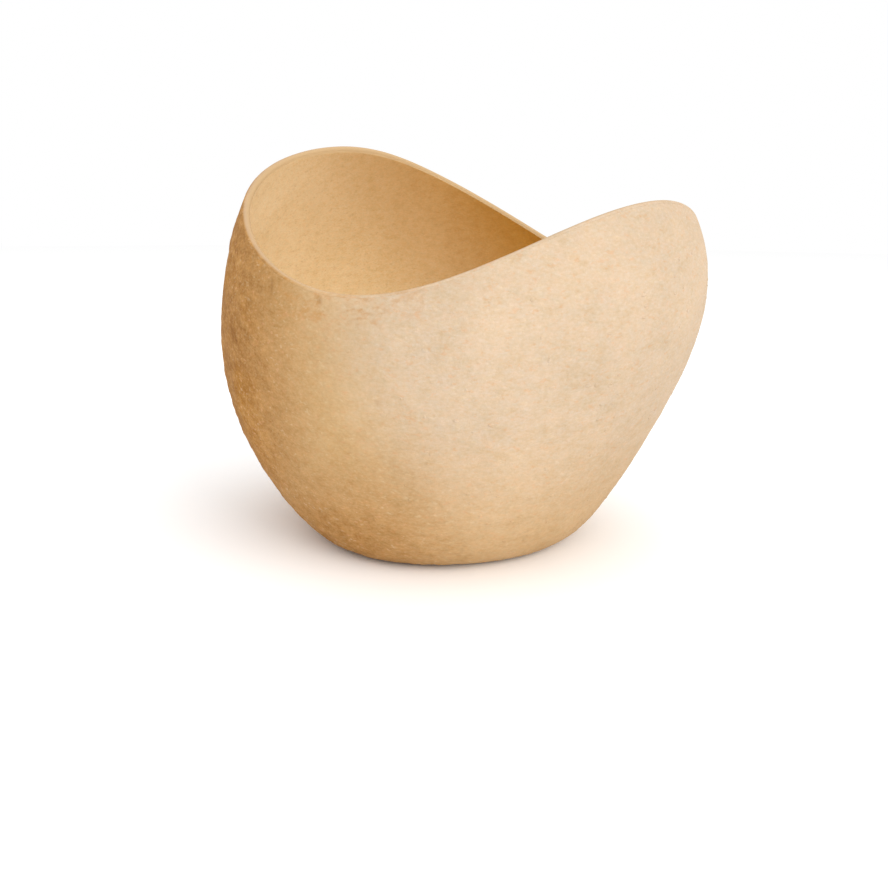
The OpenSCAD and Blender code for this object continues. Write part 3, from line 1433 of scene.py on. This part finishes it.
@dataclass(frozen=True)
class Viewpoint:
    """Where the camera stands: its bearing from the dish, its distance, and where it aims."""

    azimuth: float = math.radians(43.68)
    elevation: float = math.radians(13.76)
    roll: float = math.radians(0.5)
    distance: float = 0.445
    aim_aside: float = -0.00396
    aim_height: float = 0.04237
    lens: float = 35.33
    sensor: float = 36.0

    def build(self) -> bpy.types.Object:
        """Makes the camera and makes it the scene's own.

        Returns:
            The camera.
        """
        cos, sin = math.cos(self.elevation), math.sin(self.elevation)
        back = Vector((math.sin(self.azimuth) * cos, -math.cos(self.azimuth) * cos, sin))
        right = (-back).cross(Vector((0, 0, 1))).normalized()
        up = right.cross(-back)
        target = right * self.aim_aside + Vector((0, 0, self.aim_height))
        rolled_right = right * math.cos(self.roll) + up * math.sin(self.roll)
        rolled_up = up * math.cos(self.roll) - right * math.sin(self.roll)
        data = bpy.data.cameras.new("camera")
        data.lens = self.lens
        data.sensor_width = self.sensor
        data.clip_start = 0.01
        camera = bpy.data.objects.new("camera", data)
        turned = Matrix((rolled_right, rolled_up, back)).transposed().to_4x4()
        camera.matrix_world = Matrix.Translation(target + back * self.distance) @ turned
        bpy.context.scene.collection.objects.link(camera)
        bpy.context.scene.camera = camera
        return camera


@dataclass(frozen=True)
class Lamp:
    """A square soft light that faces the dish."""

    name: str
    place: Colour
    size: float
    power: float
    aim: Colour = (0.0, 0.0, 0.09)

    def build(self) -> None:
        """Makes the light."""
        data = bpy.data.lights.new(self.name, "AREA")
        data.energy = self.power
        data.size = self.size
        lamp = bpy.data.objects.new(self.name, data)
        place = Vector(self.place)
        lamp.rotation_euler = (Vector(self.aim) - place).to_track_quat("-Z", "Y").to_euler()
        lamp.location = place
        bpy.context.scene.collection.objects.link(lamp)


@dataclass
class Studio:
    """A plain pale floor and plain soft light."""

    floor_size: float = 14.0
    floor_colour: Colour = (0.98, 0.98, 0.98)
    sky: float = 1.0
    lamps: tuple[Lamp, ...] = (
        Lamp("key_light", (1.96, 0.0, 1.1), 1.6, 28.0),
        Lamp("top_light", (0.0, -0.6, 3.0), 4.0, 20.0),
    )

    def build(self) -> None:
        """Makes the floor, the sky and the lights."""
        scene = bpy.context.scene
        scene.view_settings.view_transform = "Standard"
        world = bpy.data.worlds.new("studio")
        world.use_nodes = True
        sky = world.node_tree.nodes["Background"]
        sky.inputs["Color"].default_value = (1.0, 1.0, 1.0, 1.0)
        sky.inputs["Strength"].default_value = self.sky
        scene.world = world
        half = self.floor_size / 2
        corners = [(-half, -half, 0), (half, -half, 0), (half, half, 0), (-half, half, 0)]
        mesh = bpy.data.meshes.new("floor")
        mesh.from_pydata(corners, [], [(0, 1, 2, 3)])
        floor = bpy.data.objects.new("floor", mesh)
        material = bpy.data.materials.new("floor")
        material.use_nodes = True
        shader = material.node_tree.nodes["Principled BSDF"]
        shader.inputs["Base Color"].default_value = (*self.floor_colour, 1.0)
        shader.inputs["Roughness"].default_value = 1.0
        shader.inputs["Specular IOR Level"].default_value = 0.0
        mesh.materials.append(material)
        scene.collection.objects.link(floor)
        for lamp in self.lamps:
            lamp.build()


def main() -> None:
    """Builds the studio and then each sub-part in turn."""
    logging.basicConfig(level=logging.INFO, format="%(name)s: %(message)s")
    Viewpoint().build()
    Studio().build()
    form = DishForm()
    wall = WallTree(form)
    relief = ReliefTree([
        Dent(math.radians(-88.5), 0.968, math.radians(0.6), 0.016),
        Dent(math.radians(-74.5), 0.982, math.radians(0.5), 0.010, 0.8),
        Dent(math.radians(-62.0), 0.765, math.radians(0.7), 0.006, 0.5),
        Dent(math.radians(38.0), 0.920, math.radians(0.6), 0.014, 0.8),
        Dent(math.radians(121.0), 0.945, math.radians(0.7), 0.015),
    ])
    effects = SharedEffects()
    pulp = PulpFinish("pulp", seed=3.0).build(effects)
    board = PulpFinish("base_board", seed=13.0, pale=(0.52, 0.36, 0.20), bump_height=0.3 * MM)
    board_material = board.build(effects)
    skin = SkinFinish("lining", seed=21.0).build(effects)
    strip = BindingFinish("binding", seed=29.0, bump_height=0.25 * MM, contrast=0.5).build(effects)

    shell = OuterShell("pulp_shell", Part.SHELL, Slot.PULP, form)
    shell_piece = shell.build(wall, relief, pulp)
    crumbs = shell.build_crumbs(shell_piece, CrumbTree(), pulp)
    shell.hand_over(shell_piece)
    shell.hand_over(crumbs, stands_for=False)
    lining = InnerLining("smooth_lining", Part.LINING, Slot.LINING, form)
    lining.hand_over(lining.build(wall, relief, skin))
    binding = RimBinding("rounded_binding", Part.BINDING, Slot.BINDING, form)
    binding.hand_over(binding.build(wall, relief, strip))
    disc = BaseDisc("pressed_disc", Part.DISC, Slot.BOARD, form)
    disc.hand_over(disc.build(relief, board_material))


if __name__ == "__main__":
    main()
